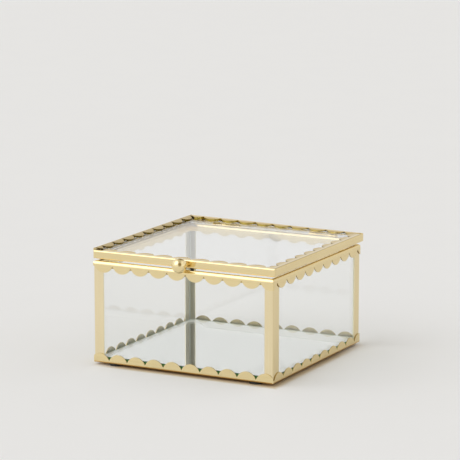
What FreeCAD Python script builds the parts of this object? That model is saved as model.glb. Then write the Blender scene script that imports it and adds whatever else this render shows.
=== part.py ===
import FreeCAD, Part
import math
import os

V = FreeCAD.Vector

# Overall sizes, measured over the metal rails, in millimetres
BOX_WIDTH = 100.0
BOX_DEPTH = 100.0
FRAME_HEIGHT = 51.5
FOOT_HEIGHT = 1.2

# Stock the pieces are made from
SHEET = 0.4
WALL_GLASS = 2.0
MIRROR_GLASS = 2.5
LID_GLASS = 3.3

# Scalloped edge that all the rails are cut with
SCALLOP_PITCH = 10.2
SCALLOP_RADIUS = 5.4
SCALLOP_DROP = 3.05
NOTCH_SLIT = 0.4
NARROWEST_SCALLOP = 2.5

# Rails: distance from the folded edge to the scallop roots, folds and plain legs
TOP_RAIL_ROOT = 2.55
TOP_RAIL_INNER_LEG = 2.0
BASE_RAIL_ROOT = 1.8
BASE_RAIL_BEND = 0.9
BASE_RAIL_FLANGE = 8.0
LID_RAIL_ROOT = 2.4
LID_RAIL_BEND = 0.8
LID_RAIL_LIP = 1.8
CORNER_ROUND = 0.8

# First notch of each strip from the end it starts at. The strips are cut from longer
# stock, so the scallops fall differently on every side.
BASE_NOTCH = {"front": 9.0, "right": 1.2, "back": 3.9, "left": 8.2}
TOP_NOTCH = {"front": 1.2, "right": 4.4, "back": 2.0, "left": 7.1}
LID_NOTCH = {"front": 3.0, "right": 8.3, "back": 0.0, "left": 3.15}

# How much further up the lid's strips are folded on each side, off the same width of stock, and the
# slope in degrees at which their scallops come down to the glass
LID_RISE = {"front": 0.0, "right": 0.0, "back": 0.5, "left": 1.0}
LID_SLOPE = {"front": 0.0, "right": 0.0, "back": 5.5, "left": 12.0}

# Corner posts, folded by hand: the leg along each side, then the leg round that side's first corner
POST_LEGS = {"front": (5.6, 5.4), "right": (6.5, 4.5), "back": (4.4, 6.4), "left": (6.5, 4.5)}
POST_BEND = 0.9

# Lid, measured from the body's sides
LID_SIDE_OVERHANG = 0.3
LID_FRONT_SETBACK = 1.0
LID_BACK_OVERHANG = 2.6
LID_GAP = 0.85

# Ball knob with its riveted tail
KNOB_RADIUS = 3.75
KNOB_NECK_RADIUS = 1.6
KNOB_NECK_LENGTH = 1.2
KNOB_TAIL_RADIUS = 0.5
KNOB_RIVET_RADIUS = 0.8
KNOB_RIVET_LENGTH = 0.6
KNOB_SIDE_OFFSET = 0.9
KNOB_DROP = 0.2

# Rubber feet and lid bumper
FOOT_RADIUS = 3.6
FOOT_EDGE = 0.3
FOOT_INSET = 11.0
BUMPER_RADIUS = 0.85
BUMPER_SIDE_OFFSET = 4.9

# Hinges
HINGE_SPREAD = 56.0
KNUCKLE_RADIUS = 1.2
KNUCKLE_LENGTH = 5.0
PIN_RADIUS = 0.5
PIN_HEAD_RADIUS = 0.8
PIN_HEAD_LENGTH = 0.4
LID_LEAF_WIDTH = 1.5

# Clearances
GLASS_FIT = 0.1
GLASS_BED = 0.15
LID_GLASS_PLAY = 0.1
RIVET_FIT = 0.03
PIN_FIT = 0.04
KNUCKLE_FIT = 0.2
BARREL_FIT = 0.15
BUMPER_FIT = 0.1

# Points closer than this are one point
TOUCH = 1e-6

# Levels and fits that follow from the sizes above
BASE_FLOOR = FOOT_HEIGHT + SHEET
BASE_FOLD = FOOT_HEIGHT + BASE_RAIL_BEND
FRAME_TOP = FOOT_HEIGHT + FRAME_HEIGHT
CHANNEL = 3 * SHEET + WALL_GLASS + 2 * GLASS_BED
BEAD_RADIUS = CHANNEL / 2
WALL_TOP = FRAME_TOP - BEAD_RADIUS
WALL_INSET = 2 * SHEET + GLASS_BED
INSIDE_INSET = WALL_INSET + WALL_GLASS
LID_BOTTOM = FRAME_TOP + LID_GAP
LID_HEIGHT = 2 * SHEET + LID_GLASS + LID_GLASS_PLAY
LID_TOP = LID_BOTTOM + LID_HEIGHT
LID_WIDTH = BOX_WIDTH + 2 * LID_SIDE_OVERHANG
LID_FRONT = LID_FRONT_SETBACK - BOX_DEPTH / 2
LID_BACK = LID_BACK_OVERHANG + BOX_DEPTH / 2
LID_DEPTH = LID_BACK - LID_FRONT
LID_MIDDLE = (LID_FRONT + LID_BACK) / 2
KNOB_LEVEL = LID_BOTTOM + LID_HEIGHT / 2 - KNOB_DROP
KNOB_CENTRE = KNOB_NECK_LENGTH + math.sqrt(KNOB_RADIUS**2 - KNOB_NECK_RADIUS**2)
KNOB_FRONT = LID_FRONT - KNOB_CENTRE - KNOB_RADIUS
HINGE_Y = BOX_DEPTH / 2 + KNUCKLE_RADIUS
HINGE_Z = LID_BOTTOM - BARREL_FIT - KNUCKLE_RADIUS
BARREL_LENGTH = 3 * KNUCKLE_LENGTH + 2 * KNUCKLE_FIT

# The whole box is centred over the origin, knob and whatever reaches furthest back included
BACK_END = max(LID_BACK, HINGE_Y + KNUCKLE_RADIUS)
FRAME_SHIFT = V(0, -(KNOB_FRONT + BACK_END) / 2, 0)

# Sides in order round the box: quarter turn from the front, and the corner a strip starts at
SIDES = {
    "front": (0, -1, -1),
    "right": (90, 1, -1),
    "back": (180, 1, 1),
    "left": (270, -1, 1),
}
POST_NAMES = {"front": "front_left", "right": "front_right", "back": "back_right", "left": "back_left"}


def save(name, shape):
    placed = shape.copy()
    placed.translate(FRAME_SHIFT)
    placed.exportStep("parts/" + name + ".step")


# Face inside a closed run of points: two points make a line, three an arc, and straight
# lines join one run to the next
def outline(runs):
    edges = []
    for index, run in enumerate(runs):
        edges.append(Part.Arc(*run).toShape() if len(run) == 3 else Part.makeLine(*run))
        following = runs[(index + 1) % len(runs)][0]
        if run[-1].distanceToPoint(following) > TOUCH:
            edges.append(Part.makeLine(run[-1], following))
    return Part.Face(Part.Wire(edges))


# Section of a folded sheet, given by the sharp corners of its outside
def folded_sheet(corners, bend):
    outer = []
    inner = []
    outward = []
    for before, corner, after in zip(corners, corners[1:], corners[2:]):
        arriving = (corner - before).normalize()
        leaving = (after - corner).normalize()
        across = (arriving - leaving).normalize()
        centre = corner - across * (bend / math.cos(arriving.getAngle(leaving) / 2))
        out_before = (arriving * arriving.dot(leaving) - leaving).normalize()
        out_after = (arriving - leaving * arriving.dot(leaving)).normalize()
        outward += [out_before, out_after]
        for arcs, radius in ((outer, bend), (inner, bend - SHEET)):
            arcs.append([centre + out_before * radius, centre + across * radius, centre + out_after * radius])
    start = [corners[0] - outward[0] * SHEET, corners[0]]
    end = [corners[-1], corners[-1] - outward[-1] * SHEET]
    return outline([start] + outer + [end] + [arc[::-1] for arc in inner[::-1]])


# Scalloped strip lying flat: straight edge on X, scallops reaching out along Y as round
# segments, with a small slit at every notch
def scalloped_strip(length, root, first_notch):
    rise = SCALLOP_RADIUS - SCALLOP_DROP
    half_chord = math.sqrt(SCALLOP_RADIUS**2 - rise**2)
    runs = []
    for index in range(math.ceil(length / SCALLOP_PITCH) + 1):
        centre = first_notch + (index - 0.5) * SCALLOP_PITCH
        left = max(0, centre - half_chord)
        right = min(length, centre + half_chord)
        if right - left < NARROWEST_SCALLOP:
            continue
        scallop = []
        for x in (left, (left + right) / 2, right):
            scallop.append(V(x, root - rise + math.sqrt(SCALLOP_RADIUS**2 - (x - centre) ** 2), 0))
        if runs:
            before = runs[-1][-1]
            runs.append([before, V((before.x + left) / 2, root - NOTCH_SLIT, 0)])
        else:
            runs.append([V(0, 0, 0), V(0, scallop[0].y, 0)])
        runs.append(scallop)
    runs.append([V(length, runs[-1][-1].y, 0), V(length, 0, 0)])
    return outline(runs).extrude(V(0, 0, SHEET))


# One rail: the folded section run along X, its scalloped leg, and ends mitred into round corners
def mitred_rail(length, section, leg):
    rail = section.extrude(V(length, 0, 0)).fuse(leg).removeSplitter()
    reach = rail.BoundBox.YMax + SHEET
    start_round = []
    for degrees in (225, 247.5, 270):
        angle = math.radians(degrees)
        start_round.append(V(CORNER_ROUND * (1 + math.cos(angle)), CORNER_ROUND * (1 + math.sin(angle)), 0))
    end_round = [V(length - point.x, point.y, 0) for point in start_round[::-1]]
    kept = outline([start_round, end_round, [V(length - reach, reach, 0), V(reach, reach, 0)]])
    return rail.common(kept.extrude(V(0, 0, rail.BoundBox.ZMax + SHEET))).Solids[0]


def to_side(shape, side, width, depth, middle=0):
    turn, x_sign, y_sign = SIDES[side]
    moved = shape.copy()
    moved.rotate(V(0, 0, 0), V(0, 0, 1), turn)
    moved.translate(V(x_sign * width / 2, y_sign * depth / 2 + middle, 0))
    return moved


def along_side(side, width, depth):
    return width if side in ("front", "back") else depth


def plate(x_size, y_size, z_size, x, y, z):
    return Part.makeBox(x_size, y_size, z_size, V(x - x_size / 2, y - y_size / 2, z))


def rod(radius, length, x, y, z):
    return Part.makeCylinder(radius, length, V(x - length / 2, y, z), V(1, 0, 0))


# Base rail: angle strip with the scallops standing up outside and the flange underneath
def base_rail(side):
    length = along_side(side, BOX_WIDTH, BOX_DEPTH)
    section = folded_sheet(
        [V(0, BASE_RAIL_FLANGE, FOOT_HEIGHT), V(0, 0, FOOT_HEIGHT), V(0, 0, BASE_FOLD)], BASE_RAIL_BEND
    )
    leg = scalloped_strip(length, BASE_RAIL_ROOT - BASE_RAIL_BEND, BASE_NOTCH[side])
    leg.rotate(V(0, 0, 0), V(1, 0, 0), 90)
    leg.translate(V(0, SHEET, BASE_FOLD))
    return mitred_rail(length, section, leg)


# Top rail: channel with a half-round back that caps wall and post, scallops hanging outside
def top_rail(side):
    length = along_side(side, BOX_WIDTH, BOX_DEPTH)
    inner_end = WALL_TOP - TOP_RAIL_INNER_LEG
    section = folded_sheet(
        [V(0, 0, WALL_TOP), V(0, 0, FRAME_TOP), V(0, CHANNEL, FRAME_TOP), V(0, CHANNEL, inner_end)],
        BEAD_RADIUS,
    )
    leg = scalloped_strip(length, TOP_RAIL_ROOT - BEAD_RADIUS, TOP_NOTCH[side])
    leg.rotate(V(0, 0, 0), V(1, 0, 0), -90)
    leg.translate(V(0, 0, WALL_TOP))
    return mitred_rail(length, section, leg)


# Lid rail: channel round the lid's glass, scallops lying inwards on top
def lid_rail(side):
    length = along_side(side, LID_WIDTH, LID_DEPTH)
    corner = V(0, 0, LID_TOP + LID_RISE[side])
    slope = math.radians(LID_SLOPE[side])
    fold = LID_RAIL_BEND * math.tan((math.pi / 2 + slope) / 2)
    leg_start = corner + V(0, math.cos(slope), -math.sin(slope)) * fold
    lip_corner = V(0, 0, LID_BOTTOM)
    lip_end = V(0, LID_RAIL_LIP, LID_BOTTOM)
    section = folded_sheet([lip_end, lip_corner, corner, leg_start], LID_RAIL_BEND)
    leg = scalloped_strip(length, LID_RAIL_ROOT - LID_RISE[side] - fold, LID_NOTCH[side])
    leg.translate(V(0, 0, -SHEET))
    leg.rotate(V(0, 0, 0), V(1, 0, 0), -LID_SLOPE[side])
    leg.translate(leg_start)
    return mitred_rail(length, section, leg)


os.makedirs("parts", exist_ok=True)

# Rubber feet under the front and back flanges
foot = outline(
    [
        [V(0, 0, 0), V(FOOT_RADIUS - FOOT_EDGE, 0, 0)],
        [V(FOOT_RADIUS, 0, FOOT_EDGE), V(FOOT_RADIUS, 0, FOOT_HEIGHT)],
        [V(FOOT_RADIUS, 0, FOOT_HEIGHT), V(0, 0, FOOT_HEIGHT)],
    ]
).revolve(V(0, 0, 0), V(0, 0, 1), 360)
for x_name, x_sign in (("left", -1), ("right", 1)):
    for y_name, y_sign in (("front", -1), ("back", 1)):
        placed_foot = foot.copy()
        foot_x = x_sign * (BOX_WIDTH / 2 - FOOT_INSET)
        foot_y = y_sign * (BOX_DEPTH / 2 - BASE_RAIL_FLANGE / 2)
        placed_foot.translate(V(foot_x, foot_y, 0))
        save("foot_" + y_name + "_" + x_name, placed_foot)

# Base frame and the mirror that lies on its flanges
for side in SIDES:
    save("base_rail_" + side, to_side(base_rail(side), side, BOX_WIDTH, BOX_DEPTH))
mirror_width = BOX_WIDTH - 2 * (INSIDE_INSET + GLASS_FIT)
mirror_depth = BOX_DEPTH - 2 * (INSIDE_INSET + GLASS_FIT)
save("base_mirror", plate(mirror_width, mirror_depth, MIRROR_GLASS, 0, 0, BASE_FLOOR))

# Corner posts: angle strip with a wide round bend, standing inside the rails on their folds
for side, (leg_along, leg_round) in POST_LEGS.items():
    post_section = folded_sheet(
        [V(leg_along, 0, BASE_FOLD), V(0, 0, BASE_FOLD), V(0, leg_round, BASE_FOLD)], POST_BEND
    )
    post = post_section.extrude(V(0, 0, WALL_TOP - BASE_FOLD))
    placed_post = to_side(post, side, BOX_WIDTH - 2 * SHEET, BOX_DEPTH - 2 * SHEET)
    save("corner_post_" + POST_NAMES[side], placed_post)

# Glass walls: front and back end at the posts' bends, the sides stand between them
wall_height = WALL_TOP - BASE_FLOOR
long_pane = BOX_WIDTH - 2 * (SHEET + POST_BEND)
short_pane = BOX_DEPTH - 2 * (INSIDE_INSET + GLASS_FIT)
wall_x = BOX_WIDTH / 2 - WALL_INSET - WALL_GLASS / 2
wall_y = BOX_DEPTH / 2 - WALL_INSET - WALL_GLASS / 2
for name, sign in (("front", -1), ("back", 1)):
    save("glass_" + name, plate(long_pane, WALL_GLASS, wall_height, 0, sign * wall_y, BASE_FLOOR))
for name, sign in (("left", -1), ("right", 1)):
    save("glass_" + name, plate(WALL_GLASS, short_pane, wall_height, sign * wall_x, 0, BASE_FLOOR))

# Top frame over walls and posts
for side in SIDES:
    save("top_rail_" + side, to_side(top_rail(side), side, BOX_WIDTH, BOX_DEPTH))

# Lid frame; its front rail has the hole for the knob's tail
for side in SIDES:
    rail = to_side(lid_rail(side), side, LID_WIDTH, LID_DEPTH, LID_MIDDLE)
    if side == "front":
        hole_start = V(KNOB_SIDE_OFFSET, LID_FRONT - SHEET, KNOB_LEVEL)
        hole = Part.makeCylinder(KNOB_TAIL_RADIUS + RIVET_FIT, 3 * SHEET, hole_start, V(0, 1, 0))
        rail = rail.cut(hole).Solids[0]
    save("lid_rail_" + side, rail)

# Lid glass, lying on the lips and clear of the rivet
lid_edge = SHEET + KNOB_RIVET_LENGTH + LID_GLASS_PLAY
lid_glass = plate(
    LID_WIDTH - 2 * lid_edge, LID_DEPTH - 2 * lid_edge, LID_GLASS, 0, LID_MIDDLE, LID_BOTTOM + SHEET
)
save("lid_glass", lid_glass)

# Ball knob: turned with neck and tail, the tail riveted over inside the rail
knob = outline(
    [
        [V(0, 0, -SHEET - KNOB_RIVET_LENGTH), V(KNOB_RIVET_RADIUS, 0, -SHEET - KNOB_RIVET_LENGTH)],
        [V(KNOB_RIVET_RADIUS, 0, -SHEET), V(KNOB_TAIL_RADIUS, 0, -SHEET)],
        [V(KNOB_TAIL_RADIUS, 0, 0), V(KNOB_NECK_RADIUS, 0, 0)],
        [
            V(KNOB_NECK_RADIUS, 0, KNOB_NECK_LENGTH),
            V(KNOB_RADIUS, 0, KNOB_CENTRE),
            V(0, 0, KNOB_CENTRE + KNOB_RADIUS),
        ],
    ]
).revolve(V(0, 0, 0), V(0, 0, 1), 360)
knob.rotate(V(0, 0, 0), V(1, 0, 0), 90)
knob.translate(V(KNOB_SIDE_OFFSET, LID_FRONT, KNOB_LEVEL))
save("knob", knob)

# Rubber bumper under the lid's front lip
bumper_length = LID_GAP - BUMPER_FIT
bumper_start = V(BUMPER_SIDE_OFFSET, LID_FRONT + LID_RAIL_LIP / 2, LID_BOTTOM - bumper_length)
save("lid_bumper", Part.makeCylinder(BUMPER_RADIUS, bumper_length, bumper_start))

# Hinges: the box leaf is soldered outside the back rail, above its scallops, the lid leaf under the lid's lip
leaf_bottom = FRAME_TOP - TOP_RAIL_ROOT
for name, sign in (("left", -1), ("right", 1)):
    hinge_x = sign * HINGE_SPREAD / 2
    bore = rod(PIN_RADIUS + PIN_FIT, 2 * BARREL_LENGTH, hinge_x, HINGE_Y, HINGE_Z)
    barrel = rod(KNUCKLE_RADIUS, BARREL_LENGTH, hinge_x, HINGE_Y, HINGE_Z)

    leaf_y = BOX_DEPTH / 2 + SHEET / 2
    body_leaf = plate(BARREL_LENGTH, SHEET, HINGE_Z - leaf_bottom, hinge_x, leaf_y, leaf_bottom).fuse(barrel)
    window_width = KNUCKLE_LENGTH + 2 * KNUCKLE_FIT
    window_bottom = HINGE_Z - KNUCKLE_RADIUS - KNUCKLE_FIT
    window = plate(window_width, 4 * KNUCKLE_RADIUS, LID_BOTTOM, hinge_x, HINGE_Y, window_bottom)
    save("hinge_body_leaf_" + name, body_leaf.cut(window).cut(bore).Solids[0])

    lid_leaf = plate(KNUCKLE_LENGTH, LID_LEAF_WIDTH, SHEET, hinge_x, HINGE_Y, LID_BOTTOM - SHEET)
    lid_knuckle = rod(KNUCKLE_RADIUS, KNUCKLE_LENGTH, hinge_x, HINGE_Y, HINGE_Z)
    save("hinge_lid_leaf_" + name, lid_leaf.fuse(lid_knuckle).cut(bore).Solids[0])

    pin = rod(PIN_RADIUS, BARREL_LENGTH, hinge_x, HINGE_Y, HINGE_Z)
    for end in (-1, 1):
        head_x = hinge_x + end * (BARREL_LENGTH + PIN_HEAD_LENGTH) / 2
        pin = pin.fuse(rod(PIN_HEAD_RADIUS, PIN_HEAD_LENGTH, head_x, HINGE_Y, HINGE_Z))
    save("hinge_pin_" + name, pin)
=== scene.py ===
import math

import bpy
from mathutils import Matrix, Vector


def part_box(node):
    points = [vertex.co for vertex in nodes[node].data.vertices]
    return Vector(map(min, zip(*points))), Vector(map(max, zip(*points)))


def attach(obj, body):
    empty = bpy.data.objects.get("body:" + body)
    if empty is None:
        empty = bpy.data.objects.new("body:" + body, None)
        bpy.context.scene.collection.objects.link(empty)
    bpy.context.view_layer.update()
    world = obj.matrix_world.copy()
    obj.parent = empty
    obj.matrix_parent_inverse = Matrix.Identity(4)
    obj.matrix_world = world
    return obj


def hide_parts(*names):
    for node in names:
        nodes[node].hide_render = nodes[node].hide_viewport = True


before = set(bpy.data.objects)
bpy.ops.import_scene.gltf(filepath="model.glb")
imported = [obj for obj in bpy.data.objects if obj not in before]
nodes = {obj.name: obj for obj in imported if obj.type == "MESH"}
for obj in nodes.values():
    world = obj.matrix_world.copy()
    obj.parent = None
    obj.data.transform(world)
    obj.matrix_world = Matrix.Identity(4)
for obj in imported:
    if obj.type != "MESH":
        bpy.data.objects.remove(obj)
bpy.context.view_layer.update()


# Base rails. Thin brass sheet, sheared with a row of scallops, folded into an angle and mitred
# at the corners; the finish is satin, brushed along the strip, and sealed with clear lacquer.
class Shade:
    """A socket of the material in hand: sums written on it add Math nodes."""

    def __init__(self, socket):
        self.socket = socket

    def node(self, kind, settings=None, inputs=None, output=0):
        """A new node: its settings first, then the values or links of its sockets."""
        made = self.socket.id_data.nodes.new("ShaderNode" + kind)
        for name, value in (settings or {}).items():
            setattr(made, name, value)
        for name, value in (inputs or {}).items():
            if isinstance(value, Shade):
                self.socket.id_data.links.new(value.socket, made.inputs[name])
            else:
                made.inputs[name].default_value = value
        return Shade(made.outputs[output])

    def sum_with(self, operation, first, second=0.0):
        return self.node("Math", {"operation": operation}, {0: first, 1: second})

    def __add__(self, other):
        return self.sum_with("ADD", self, other)

    def __radd__(self, other):
        return self.sum_with("ADD", other, self)

    def __sub__(self, other):
        return self.sum_with("SUBTRACT", self, other)

    def __rsub__(self, other):
        return self.sum_with("SUBTRACT", other, self)

    def __mul__(self, other):
        return self.sum_with("MULTIPLY", self, other)

    def __rmul__(self, other):
        return self.sum_with("MULTIPLY", other, self)

    def __gt__(self, other):
        return self.sum_with("GREATER_THAN", self, other)

    def __lt__(self, other):
        return self.sum_with("LESS_THAN", self, other)

    def __abs__(self):
        return self.sum_with("ABSOLUTE", self)

    def least(self, other):
        return self.sum_with("MINIMUM", self, other)

    def most(self, other):
        return self.sum_with("MAXIMUM", self, other)

    def part(self, axis):
        """This vector's part along an axis."""
        return self.node("SeparateXYZ", None, {0: self}, axis)

    def dot(self, other):
        """How far this vector goes the other's way."""
        settings = {"operation": "DOT_PRODUCT"}
        return self.node("VectorMath", settings, {0: self, 1: other}, "Value")

    def rise(self, start, end, curve="LINEAR"):
        """0 where this value is start and 1 where it is end, straight between them."""
        settings = {"interpolation_type": curve}
        return self.node("MapRange", settings, {0: self, 1: start, 2: end})

    def ease(self, start, end):
        """A rise with soft ends."""
        return self.rise(start, end, "SMOOTHSTEP")

    def blend(self, first, second):
        """The first colour where this value is 0 and the second where it is 1."""
        return self.node("Mix", {"data_type": "RGBA"}, {0: self, 6: first, 7: second}, 2)

    def noise(self, scale, detail, roughness=0.5):
        """Soft patches laid out by this vector."""
        inputs = {"Vector": self, "Scale": scale, "Detail": detail, "Roughness": roughness}
        return self.node("TexNoise", None, inputs)

    def relief(self, depth, strength, over=None):
        """This value as bumps, over another relief if there is one."""
        inputs = {"Strength": strength, "Distance": depth, "Height": self}
        if over is not None:
            inputs["Normal"] = over
        return self.node("Bump", None, inputs)


def new_material(name):
    """An empty material, with its output and its Object coordinates."""
    material = bpy.data.materials.new(name)
    material.use_nodes = True
    material.node_tree.nodes.clear()
    output = material.node_tree.nodes.new("ShaderNodeOutputMaterial")
    coordinates = material.node_tree.nodes.new("ShaderNodeTexCoord")
    return material, output.inputs["Surface"], Shade(coordinates.outputs["Object"])


def connect(shader, surface):
    surface.id_data.links.new(shader.socket, surface)


def dress(node, material):
    """Gives a CAD node its finish."""
    nodes[node].data.materials.clear()
    nodes[node].data.materials.append(material)


BRUSH_ACROSS = 1500.0
BRUSH_ALONG = 25.0
BRUSH_DEPTH = 0.00003
BRUSH_TONE = 1.3
BRUSH_DULLS = 0.05
CLOUD_SCALE = 90.0
CLOUD_TONE = 0.5
CLOUD_DULLS = 0.03
TONE_SHIFT = 0.4
DENT_SCALE = 140.0
DENT_DEPTH = 0.0002
EDGE_ROUND = 0.00006
POLISH = 0.08
LACQUER = 0.3
LACQUER_HAZE = 0.06


def satin_brass(name, run, tones, zones=()):
    """Brushed, lacquered brass; run is the axis that the strip and its brushing follow.

    A zone is a function that tells where the finish is another and has no lacquer, its colour,
    which in most zones is painted shade or painted light, and its added roughness.
    """
    material, surface, place = new_material(name)
    facing = place.node("TexCoord", None, None, "Normal")
    scale = [BRUSH_ACROSS] * 3
    scale["XYZ".index(run)] = BRUSH_ALONG
    strokes = place.node("Mapping", None, {"Vector": place, "Scale": scale})
    brushing = strokes.noise(1.0, detail=3.0, roughness=0.6)
    clouds = place.noise(CLOUD_SCALE, detail=4.0)
    dents = place.noise(DENT_SCALE, detail=1.0)
    rounded = place.node("Bevel", {"samples": 6}, {"Radius": EDGE_ROUND})
    beaten = dents.relief(DENT_DEPTH, strength=0.2, over=rounded)
    brushed = brushing.relief(BRUSH_DEPTH, strength=0.10, over=beaten)
    colour = (clouds * CLOUD_TONE + brushing * BRUSH_TONE - TONE_SHIFT).blend(*tones)
    roughness = POLISH + brushing * BRUSH_DULLS + clouds * CLOUD_DULLS
    lacquer = LACQUER
    for where, tint, dulled in zones:
        amount = where(place, facing)
        colour = amount.blend(colour, tint)
        roughness = roughness + amount * dulled
        lacquer = lacquer * (1.0 - amount)
    shader = place.node(
        "BsdfPrincipled",
        None,
        {
            "Base Color": colour,
            "Metallic": 1.0,
            "Roughness": roughness,
            "Normal": brushed,
            "Coat Weight": lacquer,
            "Coat Roughness": LACQUER_HAZE,
        },
    )
    connect(shader, surface)
    return material


INWARD_TURN = (-0.02, -0.03)
EDGE_TURN = (0.12, 0.04)
UNDERSIDE_TURN = (0.0, -0.35)
ACROSS = {"X": "Y", "Y": "X"}


def inward(place, facing):
    """1 on faces that look towards the middle of the box."""
    level = place.node("VectorMath", {"operation": "MULTIPLY"}, {0: place, 1: (1.0, 1.0, 0.0)})
    return level.dot(facing).rise(*INWARD_TURN)


def edge_on(facing, axis):
    """1 on faces that don't look along an axis, such as the sheared edges of a sheet across it."""
    along = facing.part(axis)
    return (along * along).rise(*EDGE_TURN)


def cut_edges(run, on_leg):
    """A zone: the scallops' edges; on_leg tells by the height what is on the scalloped leg."""

    def cuts(place, facing):
        return edge_on(facing, ACROSS[run]) * on_leg(place.part("Z"))

    return cuts


def underside(place, facing):
    """The lower half of the bend and the flange, which take a painted brown shade."""
    return facing.part("Z").rise(*UNDERSIDE_TURN)


SIDES = ("front", "right", "back", "left")
RUN = {"front": "X", "back": "X", "left": "Y", "right": "Y"}
# The tones along Y, for the rails on the left and right, are those along X darkened as painted
# shade.
SATIN_AND_SIDE_SHADE = {
    "X": ((0.86, 0.695, 0.36, 1.0), (0.96, 0.808, 0.468, 1.0)),
    "Y": ((0.76, 0.595, 0.29, 1.0), (0.86, 0.705, 0.38, 1.0)),
}
# Faces that look inwards are darker, rougher and without lacquer.
INWARD_DARKER = (0.58, 0.48, 0.24, 1.0)
INWARD_DULLS = 0.25
# The scallops' sheared edges are rougher, and darkened as painted shade.
BASE_CUT_SHADE = (0.50, 0.38, 0.16, 1.0)
CUT_DULLS = 0.2
# Painted brown shade under the base rails, for the dark floor that they reflect there.
UNDERSIDE_PAINTED_SHADE = (0.74, 0.49, 0.17, 1.0)
UNDERSIDE_DULLS = 0.2
BASE_FOLD_TOP = 0.0024
BASE_BRASS = {}
for run in "XY":
    zones = [
        (inward, INWARD_DARKER, INWARD_DULLS),
        (cut_edges(run, lambda height: height > BASE_FOLD_TOP), BASE_CUT_SHADE, CUT_DULLS),
        (underside, UNDERSIDE_PAINTED_SHADE, UNDERSIDE_DULLS),
    ]
    BASE_BRASS[run] = satin_brass("base_brass_" + run.lower(), run, SATIN_AND_SIDE_SHADE[run], zones)
for side in SIDES:
    dress("base_rail_" + side, BASE_BRASS[RUN[side]])


# Feet and lid bumper. Small discs of black rubber, cut from sheet and stuck on: one under each
# corner of the base, and one under the lid's front rail beside the knob.
CORNERS = ("front_left", "front_right", "back_left", "back_right")
RUBBER_BLACK = (0.012, 0.012, 0.012, 1.0)
RUBBER_DUSTY = (0.035, 0.034, 0.032, 1.0)
RUBBER_ROUGHNESS = 0.55
RUBBER_GRAIN = 2200.0
RUBBER_GRAIN_DEPTH = 0.00005
RUBBER_GRAIN_DULLS = 0.25
DUST_SCALE = 300.0


def black_rubber():
    """Matt rubber with a fine grain and a little dust."""
    material, surface, place = new_material("black_rubber")
    grain = place.noise(RUBBER_GRAIN, detail=5.0)
    dust = place.noise(DUST_SCALE, detail=3.0)
    shader = place.node(
        "BsdfPrincipled",
        None,
        {
            "Base Color": dust.blend(RUBBER_BLACK, RUBBER_DUSTY),
            "Roughness": RUBBER_ROUGHNESS + grain * RUBBER_GRAIN_DULLS,
            "Normal": grain.relief(RUBBER_GRAIN_DEPTH, strength=0.3),
        },
    )
    connect(shader, surface)
    return material


RUBBER = black_rubber()
for corner in CORNERS:
    dress("foot_" + corner, RUBBER)
dress("lid_bumper", RUBBER)


# Base mirror. Float glass silvered underneath, laid loose on the rails' flanges; the cut edge is
# seamed with a stone and shows green through the notches of the rails.
PLATE_PLAY = 0.00002
SEAM = 0.00018


def glass_plate(name, node, body, finish):
    """A plate of glass in a node's place, its edges seamed.

    The finish is a list of materials and a function that picks one of them by a face's normal.
    """
    low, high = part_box(node)
    middle = [(a + b) / 2 for a, b in zip(low, high)]
    extent = [b - a - 2 * PLATE_PLAY for a, b in zip(low, high)]
    bpy.ops.object.select_all(action="DESELECT")
    bpy.ops.mesh.primitive_cube_add(size=1.0, location=middle, scale=extent)
    plate = bpy.context.object
    plate.name = name
    bpy.ops.object.transform_apply(location=True, rotation=True, scale=True)
    bpy.ops.object.mode_set(mode="EDIT")
    bpy.ops.mesh.select_all(action="SELECT")
    bpy.ops.mesh.bevel(offset=SEAM, segments=2, affect="EDGES")
    bpy.ops.object.mode_set(mode="OBJECT")
    materials, choose = finish
    for material in materials:
        plate.data.materials.append(material)
    for face in plate.data.polygons:
        face.material_index = choose(face.normal)
    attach(plate, body)
    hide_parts(node)
    return plate


CLEAR_TINT = (0.984, 0.992, 0.986, 1.0)
SMEARED_TINT = (0.992, 0.996, 0.993, 1.0)
SMEAR_SCALE = 45.0
SMEAR_DULLS = 0.006
GLASS_POLISH = 0.002
GLASS_BENDS = 1.5
PASSED_LIGHT = (0.965, 0.972, 0.965, 1.0)


def clear_glass():
    """Float glass with a trace of handling; lamps shine through it without bending."""
    material, surface, place = new_material("clear_glass")
    smears = place.noise(SMEAR_SCALE, detail=5.0)
    glass = place.node(
        "BsdfPrincipled",
        None,
        {
            "Base Color": smears.blend(CLEAR_TINT, SMEARED_TINT),
            "Roughness": GLASS_POLISH + smears * SMEAR_DULLS,
            "IOR": GLASS_BENDS,
            "Transmission Weight": 1.0,
        },
    )
    shadow_ray = place.node("LightPath", None, None, "Is Shadow Ray")
    diffuse_ray = place.node("LightPath", None, None, "Is Diffuse Ray")
    lit_through = shadow_ray + diffuse_ray
    clear = place.node("BsdfTransparent", None, {"Color": PASSED_LIGHT})
    connect(place.node("MixShader", None, {0: lit_through, 1: glass, 2: clear}), surface)
    return material


STONE_GRAIN = 900.0
STONE_GRAIN_DEPTH = 0.00004
STONE_GRAIN_DULLS = 0.2
STONE_ROUGHNESS = 0.28


def ground_edge(name, dark, light, glow_within):
    """Stoned glass edge, matt and as green as the glass is deep.

    The colour seen from inside the glass is painted light: the edge shows pale there, as if lit
    through from outside.
    """
    material, surface, place = new_material(name)
    grain = place.noise(STONE_GRAIN, detail=5.0)
    behind = place.node("NewGeometry", None, None, "Backfacing")
    shader = place.node(
        "BsdfPrincipled",
        None,
        {
            "Base Color": behind.blend(grain.blend(dark, light), glow_within),
            "Roughness": STONE_ROUGHNESS + grain * STONE_GRAIN_DULLS,
            "Normal": grain.relief(STONE_GRAIN_DEPTH, strength=0.3),
        },
    )
    connect(shader, surface)
    return material


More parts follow.
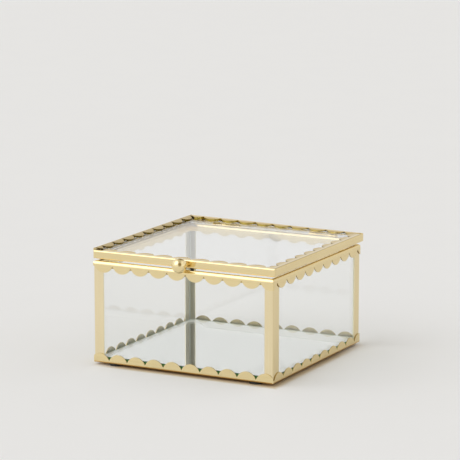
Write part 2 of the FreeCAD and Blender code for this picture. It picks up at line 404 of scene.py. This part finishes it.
SILVER_TONES = ((0.90, 0.905, 0.88, 1.0), (0.94, 0.945, 0.92, 1.0))
SILVER_SMOOTHS = 0.59
HAZE_SCALE = 60.0
HAZE_DULLS = 0.015
MARGIN_PALE = (0.915, 0.928, 0.925, 1.0)
MARGIN_ROUGHNESS = 0.6
MIRROR_LOW, MIRROR_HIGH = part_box("base_mirror")
PALE_AT_BACK = (0.010, 0.014)
PALE_AT_LEFT = (-0.001, 0.004)
CORNER_SILVER = (0.0085, 0.0065)
CORNER_SLANT = 0.52
CORNER_GAIN = 0.007


def silver_backing():
    """Silver seen through the mirror's own glass.

    It gives way to a flat pale colour with no reflection at the back and on the left, and reaches
    further back on a slant out of the back left corner.
    """
    material, surface, place = new_material("silver_backing")
    haze = place.noise(HAZE_SCALE, detail=4.0)
    from_back = MIRROR_HIGH[1] - place.part("Y")
    from_left = place.part("X") - MIRROR_LOW[0]
    corner = (from_left - from_back * CORNER_SLANT).rise(*CORNER_SILVER)
    from_back = from_back + corner * CORNER_GAIN
    silvered = from_back.ease(*PALE_AT_BACK) * from_left.ease(*PALE_AT_LEFT)
    shader = place.node(
        "BsdfPrincipled",
        None,
        {
            "Base Color": silvered.blend(MARGIN_PALE, haze.blend(*SILVER_TONES)),
            "Metallic": silvered,
            "Roughness": MARGIN_ROUGHNESS - silvered * SILVER_SMOOTHS + haze * HAZE_DULLS,
        },
    )
    connect(shader, surface)
    return material


CLEAR = clear_glass()
MIRROR_EDGE = ground_edge(
    "green_mirror_edge",
    dark=(0.03, 0.17, 0.035, 1.0),
    light=(0.10, 0.36, 0.10, 1.0),
    glow_within=(0.72, 0.75, 0.68, 1.0),
)
LOOKS_UP = 0.2
LOOKS_DOWN = -0.9
mirror_finish = (
    [MIRROR_EDGE, CLEAR, silver_backing()],
    lambda normal: 1 if normal.z > LOOKS_UP else 2 if normal.z < LOOKS_DOWN else 0,
)
glass_plate("floor_mirror", "base_mirror", "box", mirror_finish)


# Glass walls. Two-millimetre float glass, clear on its faces and pale green on its seamed edges,
# bedded between the corner posts and the rails.
PANE_EDGE = ground_edge(
    "pale_pane_edge",
    dark=(0.62, 0.68, 0.60, 1.0),
    light=(0.74, 0.80, 0.72, 1.0),
    glow_within=(0.80, 0.85, 0.80, 1.0),
)
LOOKS_ACROSS = 0.9
for side in SIDES:
    across = 1 if RUN[side] == "X" else 0
    pane_finish = (
        [PANE_EDGE, CLEAR],
        lambda normal, across=across: 1 if abs(normal[across]) > LOOKS_ACROSS else 0,
    )
    glass_plate("pane_" + side, "glass_" + side, "box", pane_finish)


# Corner posts. Brass angle strip with a wide round bend, brushed along its height and soldered to
# the rails at both ends; the legs that look left and right are darkened as painted shade, and the
# inner faces, rougher and without lacquer, are made paler as painted light.
POST_SATIN = ((0.87, 0.725, 0.43, 1.0), (0.97, 0.845, 0.57, 1.0))
# Painted shade on the legs that look left and right; painted light on the inner faces.
POST_SIDE_SHADE = (0.81, 0.67, 0.39, 1.0)
POST_INSIDE_PAINTED_LIGHT = (0.97, 0.90, 0.66, 1.0)
SIDEWAYS_TURN = (0.3, 0.8)


def sideways(place, facing):
    """The legs that look left and right, which take a painted shade."""
    along = facing.part("X")
    return (along * along).rise(*SIDEWAYS_TURN)


zones = [(sideways, POST_SIDE_SHADE, 0.0), (inward, POST_INSIDE_PAINTED_LIGHT, INWARD_DULLS)]
POST_BRASS = satin_brass("post_brass", "Z", POST_SATIN, zones)
for corner in CORNERS:
    dress("corner_post_" + corner, POST_BRASS)


# Top rails. Brass channel pressed over the walls' upper edges, with a half-round back; its
# scallops hang outside, and their sheared edges are darkened with painted shade.
# Painted dark shade on the scallops' sheared edges.
TOP_CUT_SHADE = (0.30, 0.215, 0.07, 1.0)
TOP_FOLD_BOTTOM = 0.0505
TOP_BRASS = {}
for run in "XY":
    zones = [(cut_edges(run, lambda height: height < TOP_FOLD_BOTTOM), TOP_CUT_SHADE, CUT_DULLS)]
    TOP_BRASS[run] = satin_brass("top_brass_" + run.lower(), run, SATIN_AND_SIDE_SHADE[run], zones)
for side in SIDES:
    dress("top_rail_" + side, TOP_BRASS[RUN[side]])


# Hinges. Two small brass butt hinges with rolled knuckles and headed pins; one leaf of each is
# soldered outside the back top rail, the other under the lid.
HINGE_BRASS = satin_brass("hinge_brass", "X", SATIN_AND_SIDE_SHADE["X"])
for side in ("left", "right"):
    for piece in ("hinge_body_leaf_", "hinge_lid_leaf_", "hinge_pin_"):
        dress(piece + side, HINGE_BRASS)


# Lid. Brass channel folded round a plate of thicker glass and mitred at the corners, its
# scallops lying inwards on top; their flat tops are darkened to tan and their edges to dark
# brown, both as painted shade.
LID_FOLD_REACH = 0.0010
LID_MIDDLE = (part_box("lid_glass")[0][2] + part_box("lid_glass")[1][2]) / 2


def outline(rails):
    """Each level axis, with the lowest and highest place on it of a frame of four rails."""
    rows = []
    for index, (lower, upper) in enumerate((("left", "right"), ("front", "back"))):
        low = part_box(rails + lower)[0][index]
        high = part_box(rails + upper)[1][index]
        rows.append(("XY"[index], low, high))
    return rows


LID_FOLDS = [
    (axis, low + LID_FOLD_REACH, high - LID_FOLD_REACH)
    for axis, low, high in outline("lid_rail_")
]
LID_TAN_REACH = (-0.0004, 0.0026)
FLAT_TOP_TURN = (0.93, 0.985)


def lid_tops(place, facing):
    """The flat tops of the scallops, where a painted tan shade lies, deeper further from the
    folds.
    """
    reach = 1.0
    for axis, low, high in LID_FOLDS:
        along = place.part(axis)
        reach = (along - low).least(high - along).least(reach)
    return reach.rise(*LID_TAN_REACH) * facing.part("Z").rise(*FLAT_TOP_TURN)


def lid_cuts(place, facing):
    """The edges of the scallops that lie inwards, clear of the folds, which take a painted shade.
    """
    cuts = edge_on(facing, "Z") * (place.part("Z") > LID_MIDDLE)
    for axis, low, high in LID_FOLDS:
        along = place.part(axis)
        cuts = cuts * (along > low) * (along < high)
    return cuts


# Painted shade: tan on the scallops' flat tops, dark on their edges.
LID_TOP_SHADE = {"X": (0.64, 0.43, 0.09, 1.0), "Y": (0.66, 0.48, 0.17, 1.0)}
LID_TOP_DULLS = 0.08
LID_CUT_SHADE = {"X": (0.56, 0.42, 0.09, 1.0), "Y": (0.15, 0.10, 0.012, 1.0)}
LID_CUT_DULLS = 0.15
LID_BRASS = {}
for run in "XY":
    zones = [(lid_tops, LID_TOP_SHADE[run], LID_TOP_DULLS), (lid_cuts, LID_CUT_SHADE[run], LID_CUT_DULLS)]
    LID_BRASS[run] = satin_brass("lid_brass_" + run.lower(), run, SATIN_AND_SIDE_SHADE[run], zones)
for side in ("front", "right"):
    dress("lid_rail_" + side, LID_BRASS[RUN[side]])

# On the left and at the back the fold stands higher, more so towards the corner where they meet,
# and the scallops' rims are turned down to the glass, so they look thicker there. Each row gives
# the side, the axes along and across it, the way inwards, the leg's slope as it comes from the
# fold, the turns of its top and of its rim, and the rise and the tilt of the whole fold.
FOLD_END = 0.00095
SKIN = 0.0002
SAME_POINT = 0.000001
UPPER_SIDES = (
    ("left", "Y", "X", 1.0, 12.0, -3.0, 3.0, 0.0004, 0.12),
    ("back", "X", "Y", -1.0, 5.5, 0.5, 0.5, -0.0002, 0.60),
)
for side, axis, over, inside, slope, lift, drop, higher, tilt in UPPER_SIDES:
    node = "lid_rail_" + side
    low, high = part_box(node)
    across = "XY".index(over)
    fold = [0.0, 0.0, high[2]]
    fold[across] = (low if inside > 0 else high)[across] + inside * FOLD_END
    near_end = [high[0], low[1], high[2]]
    bpy.ops.object.select_all(action="DESELECT")
    strip = nodes[node].copy()
    strip.data = nodes[node].data.copy()
    strip.name = "lid_strip_" + side
    bpy.context.scene.collection.objects.link(strip)
    bpy.context.view_layer.objects.active = strip
    strip.select_set(True)
    bpy.ops.object.mode_set(mode="EDIT")
    bpy.ops.mesh.select_all(action="SELECT")
    bpy.ops.mesh.remove_doubles(threshold=SAME_POINT)
    bpy.ops.mesh.select_all(action="DESELECT")
    bpy.ops.object.mode_set(mode="OBJECT")
    top_skin = []
    rims = []
    raised = []
    for vertex in strip.data.vertices:
        beyond = (vertex.co[across] - fold[across]) * inside
        on_top = vertex.co.z > fold[2] - beyond * math.tan(math.radians(slope)) - SKIN
        on_leg = vertex.co.z > LID_MIDDLE and beyond > 0
        top_skin.append(on_leg and on_top)
        rims.append(on_leg and not on_top)
        raised.append(vertex.co.z > LID_MIDDLE and not rims[-1])
    for chosen, turn, around, centre, up in (
        (top_skin, lift, axis, fold, 0.0),
        (rims, -drop, axis, fold, 0.0),
        (raised, -tilt, over, near_end, higher),
    ):
        strip.data.vertices.foreach_set("select", chosen)
        bpy.ops.object.mode_set(mode="EDIT")
        bpy.ops.mesh.select_mode(type="VERT")
        bpy.ops.transform.rotate(
            value=math.radians(turn), orient_axis=around, center_override=centre
        )
        bpy.ops.transform.translate(value=(0.0, 0.0, up))
        bpy.ops.mesh.select_all(action="DESELECT")
        bpy.ops.object.mode_set(mode="OBJECT")
    strip.data.materials.clear()
    strip.data.materials.append(LID_BRASS[RUN[side]])
    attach(strip, "lid")
    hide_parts(node)
glass_plate("lid_pane", "lid_glass", "lid", ([CLEAR], lambda normal: 0))


# Knob. A brass ball turned in one piece with its short neck, finished as the front rails are;
# its tail is riveted through the lid's front rail.
dress("knob", satin_brass("knob_brass", "X", SATIN_AND_SIDE_SHADE["X"]))


# Floor. A pale sweep of card, faintly mottled; near the base it carries a painted warm shadow,
# which stands for the contact shadow and for the light that the brass throws on it, and a fainter
# one a little further out on the right.
FLOOR_HALF = 4.0
FLOOR_PALE = (0.890, 0.896, 0.906, 1.0)
# Painted warm shadow and bounce light on the floor around the base.
FLOOR_PAINTED_SHADOW = (0.64, 0.53, 0.37, 1.0)
FLOOR_ROUGHNESS = 0.9
FLOOR_GLOSS = 0.1
MOTTLE_SCALE = 25.0
MOTTLE_DARKENS = 0.985
TINT_CLOSE = 0.0045
TINT_WIDE = 0.03
TINT_WIDE_SHARE = 0.10
TINT_FROM_LEFT = 0.015
TINT_FROM_BACK = 0.03
TINT_FROM_FRONT = 0.02
bpy.ops.object.select_all(action="DESELECT")
bpy.ops.mesh.primitive_plane_add(size=2 * FLOOR_HALF, location=(0.0, 0.0, 0.0))
floor = bpy.context.object
floor.name = "floor"
card, surface, place = new_material("pale_card")
mottled = [MOTTLE_DARKENS * c for c in FLOOR_PALE[:3]] + [1.0]
paper = place.noise(MOTTLE_SCALE, detail=6.0).blend(mottled, FLOOR_PALE)
base_outline = outline("base_rail_")
beyond = -1.0
for axis, low, high in base_outline:
    off = abs(place.part(axis) - (low + high) / 2) - (high - low) / 2
    beyond = off.most(beyond)
(_, base_left, base_right), (_, base_front, base_back) = base_outline
from_left = place.part("X").rise(base_left, base_left + TINT_FROM_LEFT)
from_back = place.part("Y").rise(base_back, base_back - TINT_FROM_BACK)
from_front = place.part("Y").rise(base_front, base_front + TINT_FROM_FRONT)
beside = (place.part("X") > base_right) * from_front
close = beyond.ease(TINT_CLOSE, 0.0) * from_left * from_back
wide = beyond.ease(TINT_WIDE, 0.0) * beside * from_back * TINT_WIDE_SHARE
shader = place.node(
    "BsdfPrincipled",
    None,
    {
        "Base Color": close.most(wide).blend(paper, FLOOR_PAINTED_SHADOW),
        "Roughness": FLOOR_ROUGHNESS,
        "Specular IOR Level": FLOOR_GLOSS,
    },
)
connect(shader, surface)
floor.data.materials.append(card)


# Light. A white room with a large soft lamp up on the left; the white has a dim gap overhead,
# which is darkest behind the camera and high up at the back. Each dim spot has its direction,
# its outer and inner angle in degrees, and its shade.
ROOM_WHITE = (0.97, 0.97, 0.97, 1.0)
ROOM_DIM = (0.56, 0.53, 0.47, 1.0)
ROOM_DARK = (0.28, 0.22, 0.12, 1.0)
ROOM_SHADE = (0.83, 0.83, 0.83, 1.0)
GAP_ACROSS = (0.887, 0.462, 0.0)
GAP_MIDDLE = 0.08
GAP_EDGE = (0.22, 0.01)
GAP_LEAN = (0.162, -0.310, 1.0)
GAP_HEIGHT = (-0.10, 0.38)
DIM_SPOTS = [
    ((0.0, 0.98, 0.10), 75.0, 30.0, ROOM_SHADE),
    ((-0.15, 0.70, 0.72), 28.0, 8.0, ROOM_DARK),
    ((0.535, -0.665, 0.52), 32.0, 8.0, ROOM_DARK),
]
world = bpy.data.worlds.new("studio")
bpy.context.scene.world = world
world.use_nodes = True
world.node_tree.nodes.clear()
sky = Shade(world.node_tree.nodes.new("ShaderNodeTexCoord").outputs["Generated"])
off_middle = sky.dot(GAP_ACROSS) - GAP_MIDDLE
in_gap = (off_middle * off_middle).ease(*GAP_EDGE) * sky.dot(GAP_LEAN).ease(*GAP_HEIGHT)
room = in_gap.blend(ROOM_WHITE, ROOM_DIM)
for direction, outer, inner, shade in DIM_SPOTS:
    near = sky.dot([c / math.hypot(*direction) for c in direction])
    spot = near.ease(math.cos(math.radians(outer)), math.cos(math.radians(inner)))
    room = spot.blend(room, shade)
background = sky.node("Background", None, {"Color": room, "Strength": 1.0})
world_output = world.node_tree.nodes.new("ShaderNodeOutputWorld")
connect(background, world_output.inputs["Surface"])

KEY_FROM = (-0.446, -0.544, 0.711)
KEY_SPREAD = 56.0
KEY_STRENGTH = 0.68
lamp = bpy.data.lights.new("soft_lamp", "SUN")
lamp.angle = math.radians(KEY_SPREAD)
lamp.energy = KEY_STRENGTH
soft_lamp = bpy.data.objects.new("soft_lamp", lamp)
soft_lamp.location = KEY_FROM
soft_lamp.rotation_euler = (
    math.acos(KEY_FROM[2] / math.hypot(*KEY_FROM)),
    0.0,
    math.atan2(KEY_FROM[1], KEY_FROM[0]) + math.pi / 2,
)
bpy.context.scene.collection.objects.link(soft_lamp)


# Camera. A long lens from a little above the box, turned so that its front and its right side
# are both seen.
CAMERA_TURN = 27.5444
CAMERA_DIP = 10.8161
CAMERA_PLACE = (0.564292, -1.078431, 0.296861)
CAMERA_LENS = 193.67
CAMERA_SENSOR = 36.0
CAMERA_SIGHT = 30.0
camera = bpy.data.objects.new("camera", bpy.data.cameras.new("camera"))
camera.data.lens = CAMERA_LENS
camera.data.sensor_width = CAMERA_SENSOR
camera.data.clip_end = CAMERA_SIGHT
camera.location = CAMERA_PLACE
camera.rotation_euler = (math.radians(90.0 - CAMERA_DIP), 0.0, math.radians(CAMERA_TURN))
bpy.context.scene.collection.objects.link(camera)
bpy.context.scene.camera = camera
bpy.context.scene.view_settings.view_transform = "Standard"
bpy.context.scene.cycles.use_denoising = True
